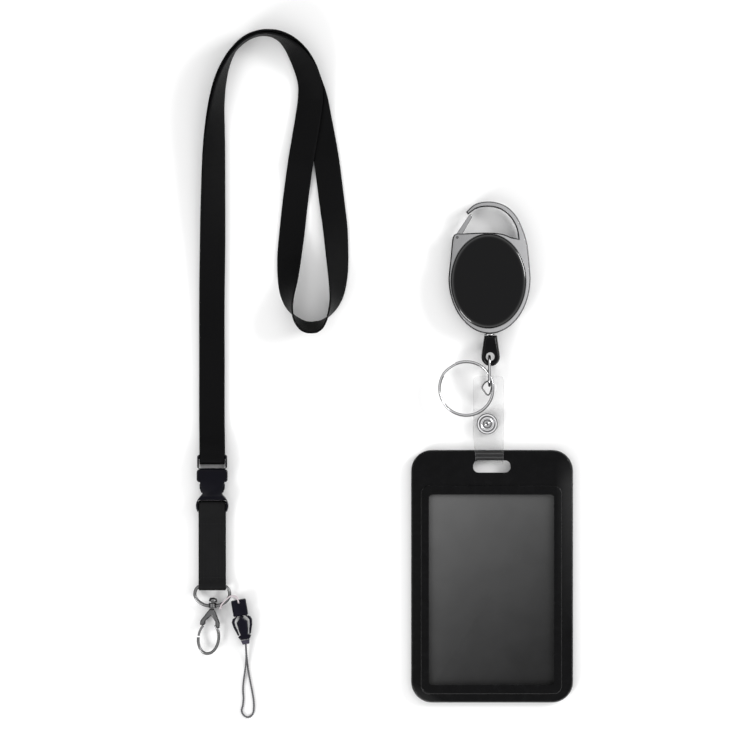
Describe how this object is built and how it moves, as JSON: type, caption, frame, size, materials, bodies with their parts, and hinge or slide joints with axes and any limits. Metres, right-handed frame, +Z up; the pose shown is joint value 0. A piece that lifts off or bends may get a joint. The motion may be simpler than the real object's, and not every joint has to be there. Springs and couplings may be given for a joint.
{
  "type": "lanyard badge holder",
  "caption": "Neck lanyard with buckle, swivel hook and phone string, beside a carabiner badge reel with key ring, clear snap strap and rigid card holder.",
  "frame": {"origin": "middle of the card holder's back face, which lies on the surface", "axes": "+X to the right across the card holder, +Y from the holder towards the reel and the lanyard's top, +Z up from the surface"},
  "size_m": [0.1638, 0.2968, 0.0115],
  "materials": {
    "chrome": "polished",
    "steel": "satin nickel plate",
    "gloss_black": "glossy",
    "matt_black": "fine matt",
    "satin_ribbon": "satin weave",
    "webbing": "flat weave",
    "clear_vinyl": "clear soft sheet",
    "clear_pane": "clear rigid sheet",
    "grey_string": "twisted cord",
    "pale_thread": "braided thread"
  },
  "bodies": {
    "reel": {"reel_frame": "chrome", "front_cover": "gloss_black", "back_cover": "matt_black", "reel_axle": "matt_black", "power_spring": "steel", "outlet_eyelet": "chrome", "gate_pin": "steel"},
    "reel_gate": {"carabiner_gate": "chrome"},
    "reel_spool": {"spool": "matt_black", "wound_cord": "satin_ribbon"},
    "reel_cord_end": {"cord_end": "gloss_black", "pull_cord": "satin_ribbon"},
    "hanging_link": {"link": "chrome", "small_ring": "chrome"},
    "key_ring": {"split_ring": "chrome"},
    "clear_strap": {"strap_upper": "clear_vinyl", "snap_socket": "chrome", "snap_cap": "chrome"},
    "card_holder": {"strap_loop": "clear_vinyl", "holder_frame": "matt_black", "holder_window": "clear_pane"},
    "card_holder_back": {"holder_back": "matt_black"},
    "neck_lanyard": {"neck_strap_front": "satin_ribbon", "neck_strap_back": "satin_ribbon", "buckle_plug": "matt_black"},
    "plug_prong_left": {"buckle_prong_left": "matt_black"},
    "plug_prong_right": {"buckle_prong_right": "matt_black"},
    "buckle_lower_half": {"buckle_socket": "matt_black", "webbing_top": "webbing"},
    "lower_webbing": {"webbing_bottom": "webbing"},
    "swivel_ring": {"d_ring": "steel"},
    "swivel_hook": {"swivel_rivet": "steel", "hook_body": "steel", "hook_gate_pin": "steel"},
    "swivel_hook_gate": {"hook_gate": "steel"},
    "string_connector": {"connector_cap": "matt_black", "phone_tether": "pale_thread"},
    "string_plug": {"connector_plug": "matt_black", "string_collar": "matt_black", "phone_string": "grey_string"},
    "string_prong_left": {"connector_prong_left": "matt_black"},
    "string_prong_right": {"connector_prong_right": "matt_black"}
  },
  "joints": [
    {"name": "gate_open", "type": "hinge", "parent": "reel", "child": "reel_gate", "pos_m": [-0.0151, 0.146, 0.0043], "axis": [0, 0, -1], "range_deg": [0, 28], "stiffness_Nm_per_rad": 0.01, "springref_deg": -20.05},
    {"name": "spool_turn", "type": "hinge", "parent": "reel", "child": "reel_spool", "pos_m": [-0.0017, 0.1272, 0.0043], "axis": [0, 0, 1], "range_deg": [0, 3600]},
    {"name": "cord_pull", "type": "slide", "parent": "reel", "child": "reel_cord_end", "axis": [0, -1, 0], "range_m": [0, 0.6], "stiffness_N_per_m": 1, "springref_m": -0.5, "deforming": ["pull_cord"]},
    {"name": "link_swing", "type": "hinge", "parent": "reel_cord_end", "child": "hanging_link", "pos_m": [-0.00105, 0.0945, 0.0044], "axis": [0, 0, 1], "range_deg": [-12, 45]},
    {"name": "key_ring_flip", "type": "hinge", "parent": "hanging_link", "child": "key_ring", "pos_m": [-0.0012, 0.08675, 0.0054], "axis": [-0.515, 0.8572, 0], "range_deg": [0, 100]},
    {"name": "strap_swing", "type": "hinge", "parent": "hanging_link", "child": "clear_strap", "pos_m": [-0.0012, 0.0827, 0.00275], "axis": [0, 0, 1], "range_deg": [-12, 45]},
    {"name": "strap_flex", "type": "hinge", "parent": "clear_strap", "child": "card_holder", "pos_m": [-0.00156, 0.0587, 0.00245], "axis": [1, 0, 0], "range_deg": [-80, 80]},
    {"name": "back_slide", "type": "slide", "parent": "card_holder", "child": "card_holder_back", "axis": [0, -1, 0], "range_m": [0, 0.09]},
    {"name": "lanyard_lift", "type": "slide", "parent": "reel", "child": "neck_lanyard", "axis": [0, 0, 1], "range_m": [0, 0.06]},
    {"name": "plug_prong_left_squeeze", "type": "hinge", "parent": "neck_lanyard", "child": "plug_prong_left", "pos_m": [-0.1245, 0.0434, 0.0027], "axis": [0, 0, 1], "range_deg": [0, 6], "stiffness_Nm_per_rad": 0.02, "springref_deg": -2.86},
    {"name": "plug_prong_right_squeeze", "type": "hinge", "parent": "neck_lanyard", "child": "plug_prong_right", "pos_m": [-0.1169, 0.0434, 0.0027], "axis": [0, 0, -1], "range_deg": [0, 6], "stiffness_Nm_per_rad": 0.02, "springref_deg": -2.86},
    {"name": "buckle_release", "type": "slide", "parent": "neck_lanyard", "child": "buckle_lower_half", "axis": [0, -1, 0], "range_m": [0, 0.014]},
    {"name": "webbing_flex", "type": "hinge", "parent": "buckle_lower_half", "child": "lower_webbing", "pos_m": [-0.1207, 0.0109, 0.0027], "axis": [1, 0, 0], "range_deg": [-75, 75]},
    {"name": "ring_swing", "type": "hinge", "parent": "lower_webbing", "child": "swivel_ring", "pos_m": [-0.1207, -0.0046, 0.0027], "axis": [1, 0, 0], "range_deg": [-75, 75]},
    {"name": "hook_swivel", "type": "hinge", "parent": "swivel_ring", "child": "swivel_hook", "pos_m": [-0.1206, -0.0126, 0.0027], "axis": [0.1219, 0.9925, 0], "continuous": true},
    {"name": "hook_gate_open", "type": "hinge", "parent": "swivel_hook", "child": "swivel_hook_gate", "pos_m": [-0.12469, -0.02006, 0.0027], "axis": [0, 0, 1], "range_deg": [0, 24], "stiffness_Nm_per_rad": 0.004, "springref_deg": -17.19},
    {"name": "connector_swing", "type": "hinge", "parent": "swivel_ring", "child": "string_connector", "pos_m": [-0.1133, -0.0087, 0.0027], "axis": [0, 0, 1], "range_deg": [-8, 60], "deforming": ["phone_tether"]},
    {"name": "connector_release", "type": "slide", "parent": "string_connector", "child": "string_plug", "axis": [0.1736, -0.9848, 0], "range_m": [0, 0.012]},
    {"name": "string_prong_left_squeeze", "type": "hinge", "parent": "string_plug", "child": "string_prong_left", "pos_m": [-0.10932, -0.0255, 0.0026], "axis": [0, 0, -1], "range_deg": [0, 2.5], "stiffness_Nm_per_rad": 0.005, "springref_deg": -2.86},
    {"name": "string_prong_right_squeeze", "type": "hinge", "parent": "string_plug", "child": "string_prong_right", "pos_m": [-0.1044, -0.02464, 0.0026], "axis": [0, 0, 1], "range_deg": [0, 2.5], "stiffness_Nm_per_rad": 0.005, "springref_deg": -2.86}
  ],
  "couplings": [
    {"joint": "spool_turn", "follows": "cord_pull", "rad_per_m": 100}
  ]
}
